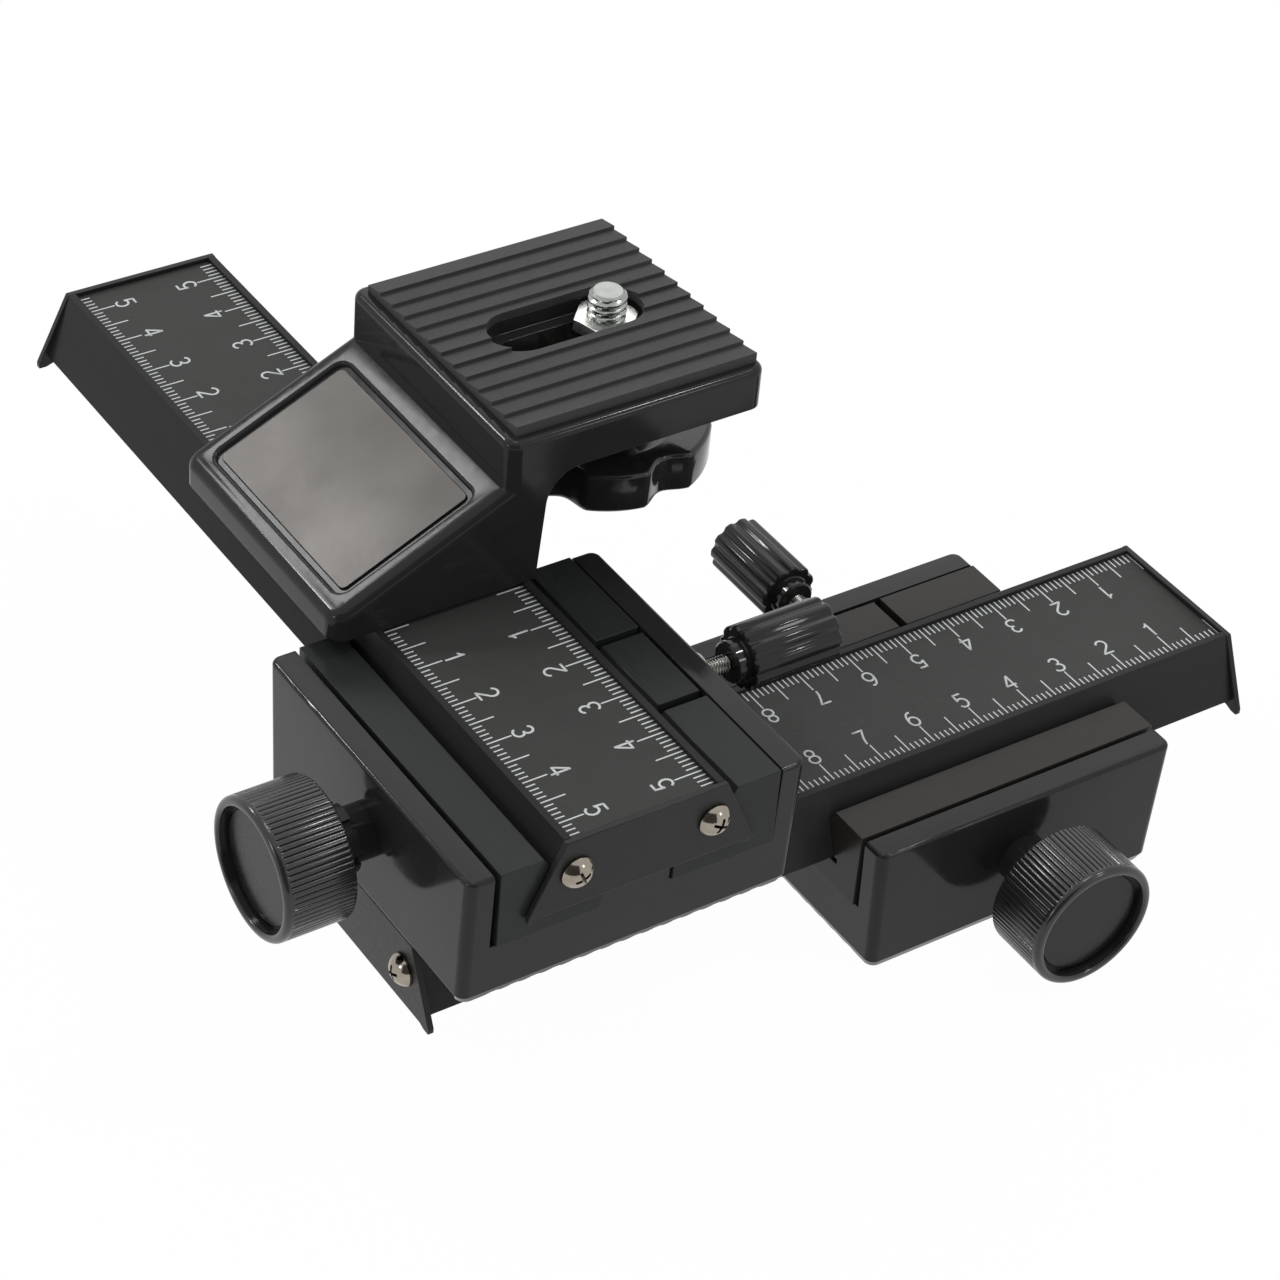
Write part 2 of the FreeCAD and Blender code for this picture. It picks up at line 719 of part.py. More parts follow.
def camera_bracket():
    y0 = bracket_centre_y - bracket_width / 2
    y1 = bracket_centre_y + bracket_width / 2
    body = joined([bracket_tower(y0, y1), bracket_platform(y0, y1)])
    _, along, inward, _ = slope_frame()
    drop = slope_wall / -inward.z
    rise = along.z / along.x
    wall_inside = platform_start + bracket_wall
    under_plate = platform_top - platform_plate
    cavity_start = -nose_reach + (bracket_floor + drop - slope_start_height) / rise
    cavity = bar_y([(bracket_floor_end, -cut_past), (bracket_floor_end, bracket_floor),
                    (cavity_start, bracket_floor), (wall_inside, slope_height(wall_inside) - drop),
                    (wall_inside, under_plate), (platform_end - bracket_wall, under_plate),
                    (platform_end - bracket_wall, -cut_past)],
                   y0 + bracket_wall, y1 - bracket_wall)
    bosses = [rod((x, bracket_centre_y + y, 0), (0, 0, 1), bracket_boss_height, bracket_boss_radius)
              for x, y in bracket_screw_spots()]
    bosses.append(slot(screw_slot_half + slot_boss_wall, platform_bottom, under_plate))
    hull = body.copy()
    body = body.cut(cavity).multiFuse([boss.common(hull) for boss in bosses])
    body = body.cut(plate_on_slope(recess_margin_low, recess_margin_side, recess_radius, 2 * recess_depth))
    body = body.makeFillet(recess_rim_radius, opening_in(body, -inward))
    body = body.cut(slot(screw_slot_half, platform_bottom - cut_past, platform_top + cut_past))
    body = body.cut(slot(pad_slot_half, platform_top - slot_ledge_depth, platform_top + cut_past))
    return body.cut(bracket_screws())


def plate_on_slope(margin_low, margin_side, radius, thickness):
    """A plate with rounded corners, its back at the bottom of the sloping face's recess."""
    _, _, _, slope_length = slope_frame()
    plate = Part.makeBox(slope_length - 2 * margin_low, bracket_width - 2 * margin_side, thickness)
    plate = plate.makeFillet(radius, edges_along(plate, V(0, 0, 1), lambda c: True))
    return on_slope(plate, margin_low, margin_side, -recess_depth)


def on_slope(shape, up, across, depth):
    """A shape drawn flat, laid on the sloping face: X up the slope, Y across it."""
    low, along, inward, _ = slope_frame()
    turn = FreeCAD.Rotation(along, V(0, 1, 0), -inward, "XYZ")
    corner = low + along * up - inward * depth + V(0, bracket_centre_y - bracket_width / 2 + across, 0)
    moved = shape.copy()
    moved.Placement = FreeCAD.Placement(corner, turn)
    return moved


def slot(half, z0, z1):
    """The camera screw's slot, from where it rests towards the tower."""
    right = screw_reach + slot_end_gap
    left = screw_reach - screw_travel - slot_end_gap
    y = bracket_centre_y
    ends = [rod((x, y, z0), (0, 0, 1), z1 - z0, half) for x in (left, right)]
    return box(left, right, y - half, y + half, z0, z1).multiFuse(ends)


def name_plate():
    return plate_on_slope(recess_margin_low + name_plate_margin, recess_margin_side + name_plate_margin,
                          recess_radius - name_plate_margin, name_plate_thickness)


def platform_pad():
    """The rubber pad: saw-tooth ribs along X, each rising towards -Y."""
    y0 = bracket_centre_y - pad_width / 2
    pitch = pad_width / pad_ribs
    outline = [(y0 + pad_width, platform_top), (y0, platform_top)]
    for index in range(pad_ribs):
        outline += [(y0 + index * pitch, platform_top + pad_crest),
                    (y0 + (index + 1) * pitch, platform_top + pad_root)]
    pad = bar_x(outline, pad_start, pad_start + pad_length)
    return pad.cut(slot(pad_slot_half, platform_top - cut_past, platform_top + 2 * pad_crest))


def nut_bottom():
    return platform_top - slot_ledge_depth + nut_seat_gap


def hex_nut():
    points = [V(*polar(nut_corner_radius, nut_phase + 60 * i), 0) for i in range(7)]
    block = Part.Face(Part.makePolygon(points)).extrude(V(0, 0, nut_height))
    cone = turned([(0, 0), (nut_corner_radius, 0), (nut_corner_radius, nut_height - nut_chamfer / 2),
                   (nut_corner_radius - nut_chamfer, nut_height), (0, nut_height)])
    bore = rod((0, 0, -cut_past), (0, 0, 1), nut_height + 2 * cut_past, quarter_inch_root)
    nut = block.common(cone).cut(bore)
    nut.translate(V(screw_reach, bracket_centre_y, nut_bottom()))
    return nut


def wheel_hub_top():
    return platform_bottom - wheel_washer_thickness - 2 * nut_seat_gap


def camera_screw():
    """The 1/4 inch screw: at the thread's foot inside wheel and nut, at full size above the nut."""
    full_start = nut_bottom() + nut_height + 2 * nut_seat_gap
    screw = turned([(0, wheel_bottom + wheel_edge), (quarter_inch_root, wheel_bottom + wheel_edge),
                    (quarter_inch_root, full_start), (quarter_inch_radius, full_start),
                    (quarter_inch_radius, screw_top - screw_tip_chamfer),
                    (quarter_inch_radius - screw_tip_chamfer, screw_top), (0, screw_top)])
    screw.translate(V(screw_reach, bracket_centre_y, 0))
    return screw


def thumbwheel():
    """The lobed wheel, dished inside its rim, with a tall hub up to the platform."""
    disc = fluted(wheel_radius, wheel_valley_depth, wheel_lobes, wheel_lobe_angle, wheel_phase, wheel_height)
    inner = wheel_radius - wheel_valley_depth - wheel_rim
    hub_height = wheel_hub_top() - wheel_bottom
    low_edge = arc_points(wheel_radius - wheel_edge, wheel_edge, wheel_edge, -90, 0)
    top_edge = arc_points(wheel_radius - wheel_edge, wheel_height - wheel_edge, wheel_edge, 0, 90)
    shell = turned([(0, 0)] + low_edge + top_edge
                   + [(inner, wheel_height), (inner, wheel_height - wheel_dish),
                      (0, wheel_height - wheel_dish)])
    hub = rod((0, 0, wheel_edge), (0, 0, 1), hub_height - wheel_edge, wheel_hub_radius)
    body = disc.common(shell).fuse(hub)
    bore = rod((0, 0, wheel_edge), (0, 0, 1), hub_height, quarter_inch_root)
    body = body.cut(bore)
    body.translate(V(screw_reach, bracket_centre_y, wheel_bottom))
    return body


def wheel_washer():
    ring = turned([(quarter_inch_radius + shaft_clearance, 0), (wheel_washer_radius, 0),
                   (wheel_washer_radius, wheel_washer_thickness),
                   (quarter_inch_radius + shaft_clearance, wheel_washer_thickness)])
    ring.translate(V(screw_reach, bracket_centre_y, wheel_hub_top() + nut_seat_gap))
    return ring


def main():
    quarter_turn = FreeCAD.Rotation(V(0, 0, 1), -90)
    upper_place = FreeCAD.Placement(V(upper_carriage_x, 0, upper_carriage_z), quarter_turn)
    bracket_place = FreeCAD.Placement(V(upper_carriage_x, 0, bracket_z), FreeCAD.Rotation())
    parts = {}
    common = carriage_parts()
    for name, shape in common.items():
        parts["lower_" + name] = shape
    parts["lower_carriage"] = lower_casting(common["carriage"])
    parts["tripod_socket"] = tripod_socket()
    for name, shape in rail_parts(lower_rail_front, "right", "left").items():
        parts["lower_" + name] = shape

    screws = carriage_screws()
    upper = dict(common)
    upper["carriage"] = common["carriage"].cut(screws)
    upper.update(rail_parts(upper_rail_front, "front", "rear"))
    for name, shape in upper.items():
        parts["upper_" + name] = moved_by(upper_place, shape)
    parts["carriage_screws"] = moved_by(upper_place, screws)
    parts["lower_rail"] = parts["lower_rail"].cut(parts["carriage_screws"])

    bracket = {"camera_bracket": camera_bracket(), "name_plate": name_plate(),
               "platform_pad": platform_pad(), "bracket_screws": bracket_screws(),
               "camera_screw": camera_screw(), "hex_nut": hex_nut(), "thumbwheel": thumbwheel(),
               "wheel_washer": wheel_washer()}
    for name, shape in bracket.items():
        parts[name] = moved_by(bracket_place, shape)
    parts["upper_rail"] = parts["upper_rail"].cut(parts["bracket_screws"])

    os.makedirs("parts", exist_ok=True)
    for name, shape in parts.items():
        shape.exportStep("parts/" + name + ".step")
        print(name, len(shape.Solids), round(shape.Volume, 1), shape.isValid())


main()
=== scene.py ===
import json
import bpy, bmesh
from math import atan2, cos, degrees, hypot, pi, radians, sin, sqrt, tau
from mathutils import Matrix, Vector


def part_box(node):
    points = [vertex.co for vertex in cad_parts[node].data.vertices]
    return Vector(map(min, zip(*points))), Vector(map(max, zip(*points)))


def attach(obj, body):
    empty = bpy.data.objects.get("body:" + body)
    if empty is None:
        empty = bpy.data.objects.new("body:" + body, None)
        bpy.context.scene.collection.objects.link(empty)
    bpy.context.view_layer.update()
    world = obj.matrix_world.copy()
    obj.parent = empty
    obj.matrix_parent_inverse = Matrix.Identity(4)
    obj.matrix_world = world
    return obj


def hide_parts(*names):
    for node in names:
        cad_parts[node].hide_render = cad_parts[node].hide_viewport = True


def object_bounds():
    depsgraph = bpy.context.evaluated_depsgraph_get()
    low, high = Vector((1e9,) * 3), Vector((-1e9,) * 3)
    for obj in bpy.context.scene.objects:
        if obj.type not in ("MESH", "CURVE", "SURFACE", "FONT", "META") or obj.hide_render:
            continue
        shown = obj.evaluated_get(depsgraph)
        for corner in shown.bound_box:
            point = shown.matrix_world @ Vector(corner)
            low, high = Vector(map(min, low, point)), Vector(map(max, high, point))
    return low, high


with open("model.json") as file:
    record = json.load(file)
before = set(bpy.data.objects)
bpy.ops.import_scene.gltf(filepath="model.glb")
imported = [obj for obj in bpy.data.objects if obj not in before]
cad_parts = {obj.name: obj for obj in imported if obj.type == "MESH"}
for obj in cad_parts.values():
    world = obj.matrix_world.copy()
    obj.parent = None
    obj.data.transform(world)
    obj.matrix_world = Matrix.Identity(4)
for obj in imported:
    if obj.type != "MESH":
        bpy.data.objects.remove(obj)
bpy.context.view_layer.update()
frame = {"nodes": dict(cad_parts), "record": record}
bodies = frame["record"]["behaviour"]["bodies"]
bodyOfNode = {node: body for body, nodes in bodies.items() for node in nodes}
print("frame loaded:", len(frame["nodes"]), "nodes")

mm = 0.001      # shapes are drawn in millimetres, the scene is in metres
mergeWithin = 1e-4      # for points that are drawn twice
nearly = 0.01           # for points that should lie on a level


# An sRGB hex colour as a linear one.
def toLinear(hexColour):
    channels = [int(hexColour[i:i + 2], 16) / 255 for i in (1, 3, 5)]
    return [c / 12.92 if c <= 0.04045 else ((c + 0.055) / 1.055) ** 2.4 for c in channels] + [1]


# Adds a node with its settings, its values and its links.
def addNode(tree, kind, inputs=None, **settings):
    made = tree.nodes.new(kind)
    for name, value in settings.items():
        setattr(made, name, value)
    for name, value in (inputs or {}).items():
        if isinstance(value, bpy.types.NodeSocket):
            tree.links.new(value, made.inputs[name])
        else:
            made.inputs[name].default_value = value
    return made


def newMaterial(name):
    made = bpy.data.materials.new(name)
    made.use_nodes = True
    made.node_tree.nodes.clear()
    return made


def finishMaterial(made, shader):
    addNode(made.node_tree, "ShaderNodeOutputMaterial", {"Surface": shader.outputs[0]})
    return made


# Most of the grain's noise lies between the low and the high value.
noise = {"cloudDetail": 3.0, "grainDetail": 2.0, "grainLow": 0.3, "grainHigh": 0.7}


# A painted, moulded or plated surface: two tones mixed by slow noise, a fine bump and uneven roughness.
def surface(name, look):
    made = newMaterial(name)
    tree = made.node_tree
    place = addNode(tree, "ShaderNodeTexCoord").outputs["Object"]
    stretch = look.get("stretch", (1, 1, 1))
    spread = addNode(tree, "ShaderNodeMapping", {"Vector": place, "Scale": stretch}).outputs[0]
    cloud = addNode(tree, "ShaderNodeTexNoise", {"Vector": spread, "Detail": noise["cloudDetail"],
                                                "Scale": 1 / (look["cloudMm"] * mm)})
    grain = addNode(tree, "ShaderNodeTexNoise", {"Vector": spread, "Detail": noise["grainDetail"],
                                                "Scale": 1 / (look["grainMm"] * mm)})
    tone = addNode(tree, "ShaderNodeMix", {0: cloud.outputs[0], 6: toLinear(look["colour"]),
                                          7: toLinear(look["second"])}, data_type="RGBA")
    low, high = look["roughness"]
    rough = addNode(tree, "ShaderNodeMapRange", {0: grain.outputs[0], 1: noise["grainLow"],
                                                2: noise["grainHigh"], 3: low, 4: high})
    bump = addNode(tree, "ShaderNodeBump", {"Height": grain.outputs[0], "Strength": look["bump"],
                                           "Distance": look["bumpMm"] * mm})
    shader = addNode(tree, "ShaderNodeBsdfPrincipled", {
        "Base Color": tone.outputs[2], "Roughness": rough.outputs[0], "Normal": bump.outputs[0],
        "Metallic": look.get("metallic", 0.0), "Specular IOR Level": look.get("specular", 0.5)})
    return finishMaterial(made, shader)


materials = {
    # enamel sprayed on die-cast zinc: black and glossy, with a faint orange peel in its reflections
    "enamel": surface("black_enamel_sprayed", {
        "colour": "#222223", "second": "#282828", "cloudMm": 9, "grainMm": 1.7, "roughness": (0.08, 0.14),
        "bump": 0.12, "bumpMm": 0.02, "specular": 0.17}),
    # gibs of anodised extruded aluminium: satin, with soft drawn streaks along each gib
    "gibAlongX": surface("anodised_gib_drawn_x", {
        "colour": "#272625", "second": "#322f2d", "cloudMm": 14, "grainMm": 0.5, "roughness": (0.26, 0.34),
        "bump": 0.04, "bumpMm": 0.02, "stretch": (0.1, 1, 1), "specular": 0.16}),
    "gibAlongY": surface("anodised_gib_drawn_y", {
        "colour": "#222424", "second": "#2c2d2d", "cloudMm": 14, "grainMm": 0.5, "roughness": (0.26, 0.34),
        "bump": 0.04, "bumpMm": 0.02, "stretch": (1, 0.1, 1), "specular": 0.12}),
    # the rails' outsides, the same aluminium: darker and duller, with long fine streaks. The lower rail's
    # copy is drawn lighter, painted light on its shaded flank, and the upper rail's copy darker, painted
    # shade on its lamp-lit flank
    "railAlongX": surface("anodised_rail_drawn_x_painted_light", {
        "colour": "#282828", "second": "#303030", "cloudMm": 6, "grainMm": 0.5, "roughness": (0.22, 0.3),
        "bump": 0.04, "bumpMm": 0.02, "stretch": (0.03, 1, 1), "specular": 0.08}),
    "railAlongY": surface("anodised_rail_drawn_y_painted_shade", {
        "colour": "#212121", "second": "#292929", "cloudMm": 6, "grainMm": 0.5, "roughness": (0.22, 0.3),
        "bump": 0.04, "bumpMm": 0.02, "stretch": (1, 0.03, 1), "specular": 0.08}),
    # the rail's scale face, blasted before anodising: matt, with a fine grain (drawn coarser to show)
    "scaleFace": surface("anodised_matt_blasted", {
        "colour": "#30302f", "second": "#363635", "cloudMm": 4, "grainMm": 0.3, "roughness": (0.5, 0.62),
        "bump": 0.25, "bumpMm": 0.02, "specular": 0.2}),
    # screen-printed epoxy ink: off-white and flat
    "ink": surface("epoxy_ink_printed", {
        "colour": "#b9bebc", "second": "#c9cecb", "cloudMm": 1.5, "grainMm": 0.4, "roughness": (0.5, 0.6),
        "bump": 0.1, "bumpMm": 0.01}),
    # lacquered steel sheet: black with a soft sheen
    "sheet": surface("lacquered_sheet", {
        "colour": "#222222", "second": "#282828", "cloudMm": 5, "grainMm": 0.8, "roughness": (0.26, 0.36),
        "bump": 0.12, "bumpMm": 0.02, "specular": 0.16}),
    # moulded ABS: black with a satin skin, so that each rib has its own line of light
    "knob": surface("abs_moulded_satin", {
        "colour": "#1e1e1e", "second": "#242424", "cloudMm": 4, "grainMm": 0.6, "roughness": (0.14, 0.22),
        "bump": 0.08, "bumpMm": 0.02, "specular": 0.5}),
    # the same ABS in the knob's recess: smoother and darker, with hardly a reflection
    "knobFace": surface("abs_moulded_smooth", {
        "colour": "#161616", "second": "#1b1b1b", "cloudMm": 6, "grainMm": 0.6, "roughness": (0.2, 0.28),
        "bump": 0.05, "bumpMm": 0.02, "specular": 0.16}),
    # polished phenolic: black with sharp reflections
    "gloss": surface("phenolic_moulded_polished", {
        "colour": "#1e1e1e", "second": "#232323", "cloudMm": 5, "grainMm": 1.2, "roughness": (0.06, 0.1),
        "bump": 0.06, "bumpMm": 0.02, "specular": 0.25}),
    # phenolic on the wheel: the same black drawn lighter, painted light which lifts the wheel in the shade
    # under the platform, with stronger and softer reflections
    "wheel": surface("phenolic_wheel_painted_light", {
        "colour": "#242424", "second": "#292929", "cloudMm": 5, "grainMm": 1.2, "roughness": (0.08, 0.14),
        "bump": 0.06, "bumpMm": 0.02, "specular": 0.4}),
    # turned steel, bare: grey, with a dull sheen
    "steel": surface("steel_turned", {
        "colour": "#8e8e8c", "second": "#9c9c9a", "cloudMm": 2, "grainMm": 0.3, "roughness": (0.28, 0.4),
        "bump": 0.1, "bumpMm": 0.02, "metallic": 1.0}),
    # zinc plate, passivated clear: bright and slightly milky
    "zinc": surface("zinc_plated_bright", {
        "colour": "#8d908e", "second": "#a8aba6", "cloudMm": 1.2, "grainMm": 0.35, "roughness": (0.16, 0.3),
        "bump": 0.15, "bumpMm": 0.02, "metallic": 1.0}),
    # the same plate on the nut, drawn paler than on the screws: painted light, which lifts the nut out of
    # the shade of the pad's slot; duller as well
    "zincNutPaintedLight": surface("zinc_plated_nut_painted_light", {
        "colour": "#e0e2de", "second": "#f0f1ee", "cloudMm": 1.5, "grainMm": 0.5, "roughness": (0.26, 0.4),
        "bump": 0.12, "bumpMm": 0.02, "metallic": 1.0}),
    # nickel plate: a warm mirror, with painted reflections: its two tones, mixed in clouds about half a head
    # across, give each dome brighter and darker patches
    "nickel": surface("nickel_plated_painted_reflections", {
        "colour": "#7d756b", "second": "#aca498", "cloudMm": 2.6, "grainMm": 0.4, "roughness": (0.1, 0.16),
        "bump": 0.05, "bumpMm": 0.02, "metallic": 1.0}),
    # turned brass, bare: yellow, with a soft sheen
    "brass": surface("brass_turned", {
        "colour": "#b89a58", "second": "#c5a866", "cloudMm": 2, "grainMm": 0.3, "roughness": (0.22, 0.34),
        "bump": 0.1, "bumpMm": 0.02, "metallic": 1.0}),
    # moulded nylon, undyed: cream and waxy
    "nylon": surface("nylon_moulded_natural", {
        "colour": "#cfc5ae", "second": "#d9d0bb", "cloudMm": 2, "grainMm": 0.4, "roughness": (0.4, 0.5),
        "bump": 0.08, "bumpMm": 0.02}),
    # moulded rubber: matt, with a fine stipple (drawn coarser to show)
    "rubber": surface("rubber_moulded_matt", {
        "colour": "#333333", "second": "#3b3b3b", "cloudMm": 3, "grainMm": 0.35, "roughness": (0.62, 0.78),
        "bump": 0.3, "bumpMm": 0.03, "specular": 0.35}),
    # thin aluminium plate, brushed and stained dark: warm grey, with a soft broad reflection and no print.
    # Its two tones, far apart and mixed in broad clouds, are painted shade and a painted reflection across
    # the plate
    "plate": surface("aluminium_brushed_painted_shade", {
        "colour": "#1b1917", "second": "#545250", "cloudMm": 30, "grainMm": 1.1, "roughness": (0.28, 0.3),
        "bump": 0.0, "bumpMm": 0.02, "metallic": 0.85}),
}
print("materials made:", len(materials))


# Points along an arc of an ellipse, from one angle in degrees to another.
def ellipseArc(centreX, centreY, radiusX, radiusY, start, end, steps=9):
    angles = [radians(start + (end - start) * i / steps) for i in range(steps + 1)]
    return [(centreX + radiusX * cos(a), centreY + radiusY * sin(a)) for a in angles]


# The same for a circle, in an outline of (radius, height) points.
def outlineArc(centreR, centreZ, radius, start, end, steps):
    return ellipseArc(centreR, centreZ, radius, radius, start, end, steps)


# An outline of (radius, height) points in mm, turned about Z.
def turnedShape(outline, steps):
    bm = bmesh.new()
    rim = [bm.verts.new((r, 0, z)) for r, z in outline]
    path = [bm.edges.new(pair) for pair in zip(rim, rim[1:])]
    bmesh.ops.spin(bm, geom=rim + path, cent=(0, 0, 0), axis=(0, 0, 1), angle=tau, steps=steps,
                   use_merge=True)
    bmesh.ops.remove_doubles(bm, verts=bm.verts, dist=mergeWithin)
    bmesh.ops.recalc_face_normals(bm, faces=bm.faces)
    return bm


# Where a node sits: its back face's centre, its length and radius along an outward direction, in mm.
def seatOf(node, outward):
    low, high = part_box(node)
    outward = Vector(outward)
    size = (high - low) / mm
    length = abs(size.dot(outward))
    centre = (low + high) / 2 / mm
    radius = max(abs(size[i]) for i in range(3) if abs(outward[i]) < 0.5) / 2
    turn = outward.to_track_quat("Z", "Y").to_matrix().to_4x4()
    return Matrix.Translation(centre - outward * length / 2) @ turn, length, radius


# Gives a bmesh in mm its place, its finish, its body and the nodes that it stands for.
def makePiece(name, bm, body, finishes, stands=(), place=Matrix.Identity(4), sharpAngle=32):
    bmesh.ops.transform(bm, matrix=Matrix.Scale(mm, 4) @ place, verts=bm.verts)
    mesh = bpy.data.meshes.new(name)
    bm.to_mesh(mesh)
    bm.free()
    piece = bpy.data.objects.new(name, mesh)
    bpy.context.scene.collection.objects.link(piece)
    for finish in finishes:
        mesh.materials.append(materials[finish])
    mesh.shade_smooth()
    mesh.set_sharp_from_angle(angle=radians(sharpAngle))
    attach(piece, body)
    if stands:
        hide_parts(*stands)
    return piece


# A node's shape in mm, with its loose triangles merged into whole faces.
def nodeShape(node, mergeMm=0.002, flatAngle=0.4):
    bm = bmesh.new()
    bm.from_mesh(frame["nodes"][node].data)
    bmesh.ops.remove_doubles(bm, verts=bm.verts, dist=mergeMm * mm)
    bmesh.ops.dissolve_limit(bm, angle_limit=radians(flatAngle), verts=bm.verts, edges=bm.edges)
    bmesh.ops.scale(bm, vec=(1 / mm, 1 / mm, 1 / mm), verts=bm.verts)
    return bm


# Breaks every edge that is sharper than the limit.
def breakEdges(piece, edgeMm, limitAngle, segments=2):
    bevel = piece.modifiers.new("edges", "BEVEL")
    bevel.width = edgeMm * mm
    bevel.segments = segments
    bevel.limit_method = "ANGLE"
    bevel.angle_limit = radians(limitAngle)


# The node's shape with its sharp edges broken, as a cast, extruded or pressed piece has them.
def broken(node, finish, edgeMm, segments=2, limitAngle=25, reshape=None):
    bm = nodeShape(node)
    if reshape:
        reshape(bm)
    piece = makePiece(node + "_finished", bm, bodyOfNode[node], [finish], (node,),
                      sharpAngle=limitAngle - 1)
    breakEdges(piece, edgeMm, limitAngle, segments)


# How far in from each edge its break starts, in mm.
edgeBreak = {"casting": 0.2, "gib": 0.1, "rail": 0.2, "sheet": 0.15, "bracket": 0.25, "pad": 0.2,
             "nut": 0.12, "washer": 0.12, "plate": 0.12}

# The slope along a casting's foot: its top above the ribs, and how far the finished one goes on up the wall.
footBand = {"top": 1.1, "within": 0.05, "raised": 0.4, "limitAngle": 21}


def raiseFoot(bm):
    foot = min(v.co.z for v in bm.verts)
    for v in bm.verts:
        if abs(v.co.z - foot - footBand["top"]) < footBand["within"]:
            v.co.z += footBand["raised"]


for side, gibFinish in (("lower", "gibAlongX"), ("upper", "gibAlongY")):
    broken(side + "_carriage", "enamel", edgeBreak["casting"],
           limitAngle=footBand["limitAngle"], reshape=raiseFoot)
    for gib in ("_fixed_gib", "_end_gibs", "_lock_gib"):
        broken(side + gib, gibFinish, edgeBreak["gib"])
    broken(side + "_focus_bush", "sheet", edgeBreak["sheet"])
    broken(side + "_knob_face", "knobFace", edgeBreak["sheet"])
    broken(side + "_lock_washer", "nylon", edgeBreak["washer"])
    for end in {"lower": ("_left", "_right"), "upper": ("_front", "_rear")}[side]:
        broken(side + end + "_end_plate", "sheet", edgeBreak["sheet"])
broken("camera_bracket", "enamel", edgeBreak["bracket"], segments=3)
broken("name_plate", "plate", edgeBreak["plate"])
broken("platform_pad", "rubber", edgeBreak["pad"])
# the nut's paler zinc is painted light against the shade of the pad's slot
broken("hex_nut", "zincNutPaintedLight", edgeBreak["nut"])
print("castings, gibs and plates finished")


# The printed scales, drawn with the rail along X.
scaleMarks = {
    "recess": 0.8,              # scale face below the rail's lips
    "inkHeight": 0.03,
    "inkStep": 0.006,           # each stroke ends this much higher than the last, where they cross
    "tickPitch": 1.0,
    "tickWidth": 0.25,
    "tickOuter": 12.9,          # from the rail's centre-line
    "shortTick": 2.3,
    "longTick": 5.0,
    "ticksPerLong": 5,
    "ticksPerNumber": 10,
    "digitHeight": 3.3,
    "digitWidth": 1.95,
    "digitStroke": 0.4,
    "digitGap": 0.4,            # long tick to digit
}

# Where each row's zero is along its rail, its last tick, and the way in which it counts.
railScales = {
    "lower": {"finish": "railAlongX", "turn": 0, "rows": {"": (53.5, 157, -1)}},
    "upper": {"finish": "railAlongY", "turn": -90, "rows": {"_front": (-24.38, 53, 1),
                                                           "_rear": (-73.08, 54, -1)}},
}

# Strokes of each digit in a box one unit high and one wide, from its lower left corner.
digitStrokes = {
    1: [[(0.62, 1.04), (0.62, 0.0)], [(0.22, 0.76), (0.45, 0.83), (0.62, 0.96)]],
    2: [ellipseArc(0.5, 0.71, 0.46, 0.29, 165, -38) + [(0.04, 0.02)], [(-0.05, 0.0), (1.0, 0.0)]],
    3: [ellipseArc(0.47, 0.745, 0.4, 0.255, 160, -90), ellipseArc(0.47, 0.265, 0.48, 0.265, 90, -160)],
    4: [[(0.72, 0.0), (0.72, 1.03)], [(0.7, 1.0), (0.02, 0.3)], [(-0.06, 0.28), (1.0, 0.28)]],
    5: [[(0.92, 1.0), (0.14, 1.0)], [(0.22, 1.0), (0.13, 0.5)],
        ellipseArc(0.48, 0.33, 0.47, 0.33, 140, -150)],
    6: [ellipseArc(0.5, 0.32, 0.46, 0.32, 0, 360, 14), ellipseArc(0.62, 0.32, 0.58, 0.68, 180, 75)],
    7: [[(0.0, 1.0), (1.05, 1.0)], [(0.98, 1.0), (0.74, 0.74), (0.5, 0.38), (0.38, 0.0)]],
    8: [ellipseArc(0.5, 0.76, 0.38, 0.24, 0, 360, 14), ellipseArc(0.5, 0.27, 0.47, 0.27, 0, 360, 14)],
    9: [ellipseArc(0.5, 0.68, 0.46, 0.32, 0, 360, 14), ellipseArc(0.38, 0.68, 0.58, 0.68, 0, -105)],
}


# One row of ticks each side of the rail's centre-line.
def tickRows(zero, count, way):
    marks = scaleMarks
    bm = bmesh.new()
    for index in range(count + 1):
        length = marks["shortTick"] if index % marks["ticksPerLong"] else marks["longTick"]
        size = Matrix.Diagonal((marks["tickWidth"], length, marks["inkHeight"], 1))
        along = zero + way * marks["tickPitch"] * index
        for hand in (-1, 1):
            middle = (along, hand * (marks["tickOuter"] - length / 2), marks["inkHeight"] / 2)
            bmesh.ops.create_cube(bm, size=1, matrix=Matrix.Translation(middle) @ size)
    return bm


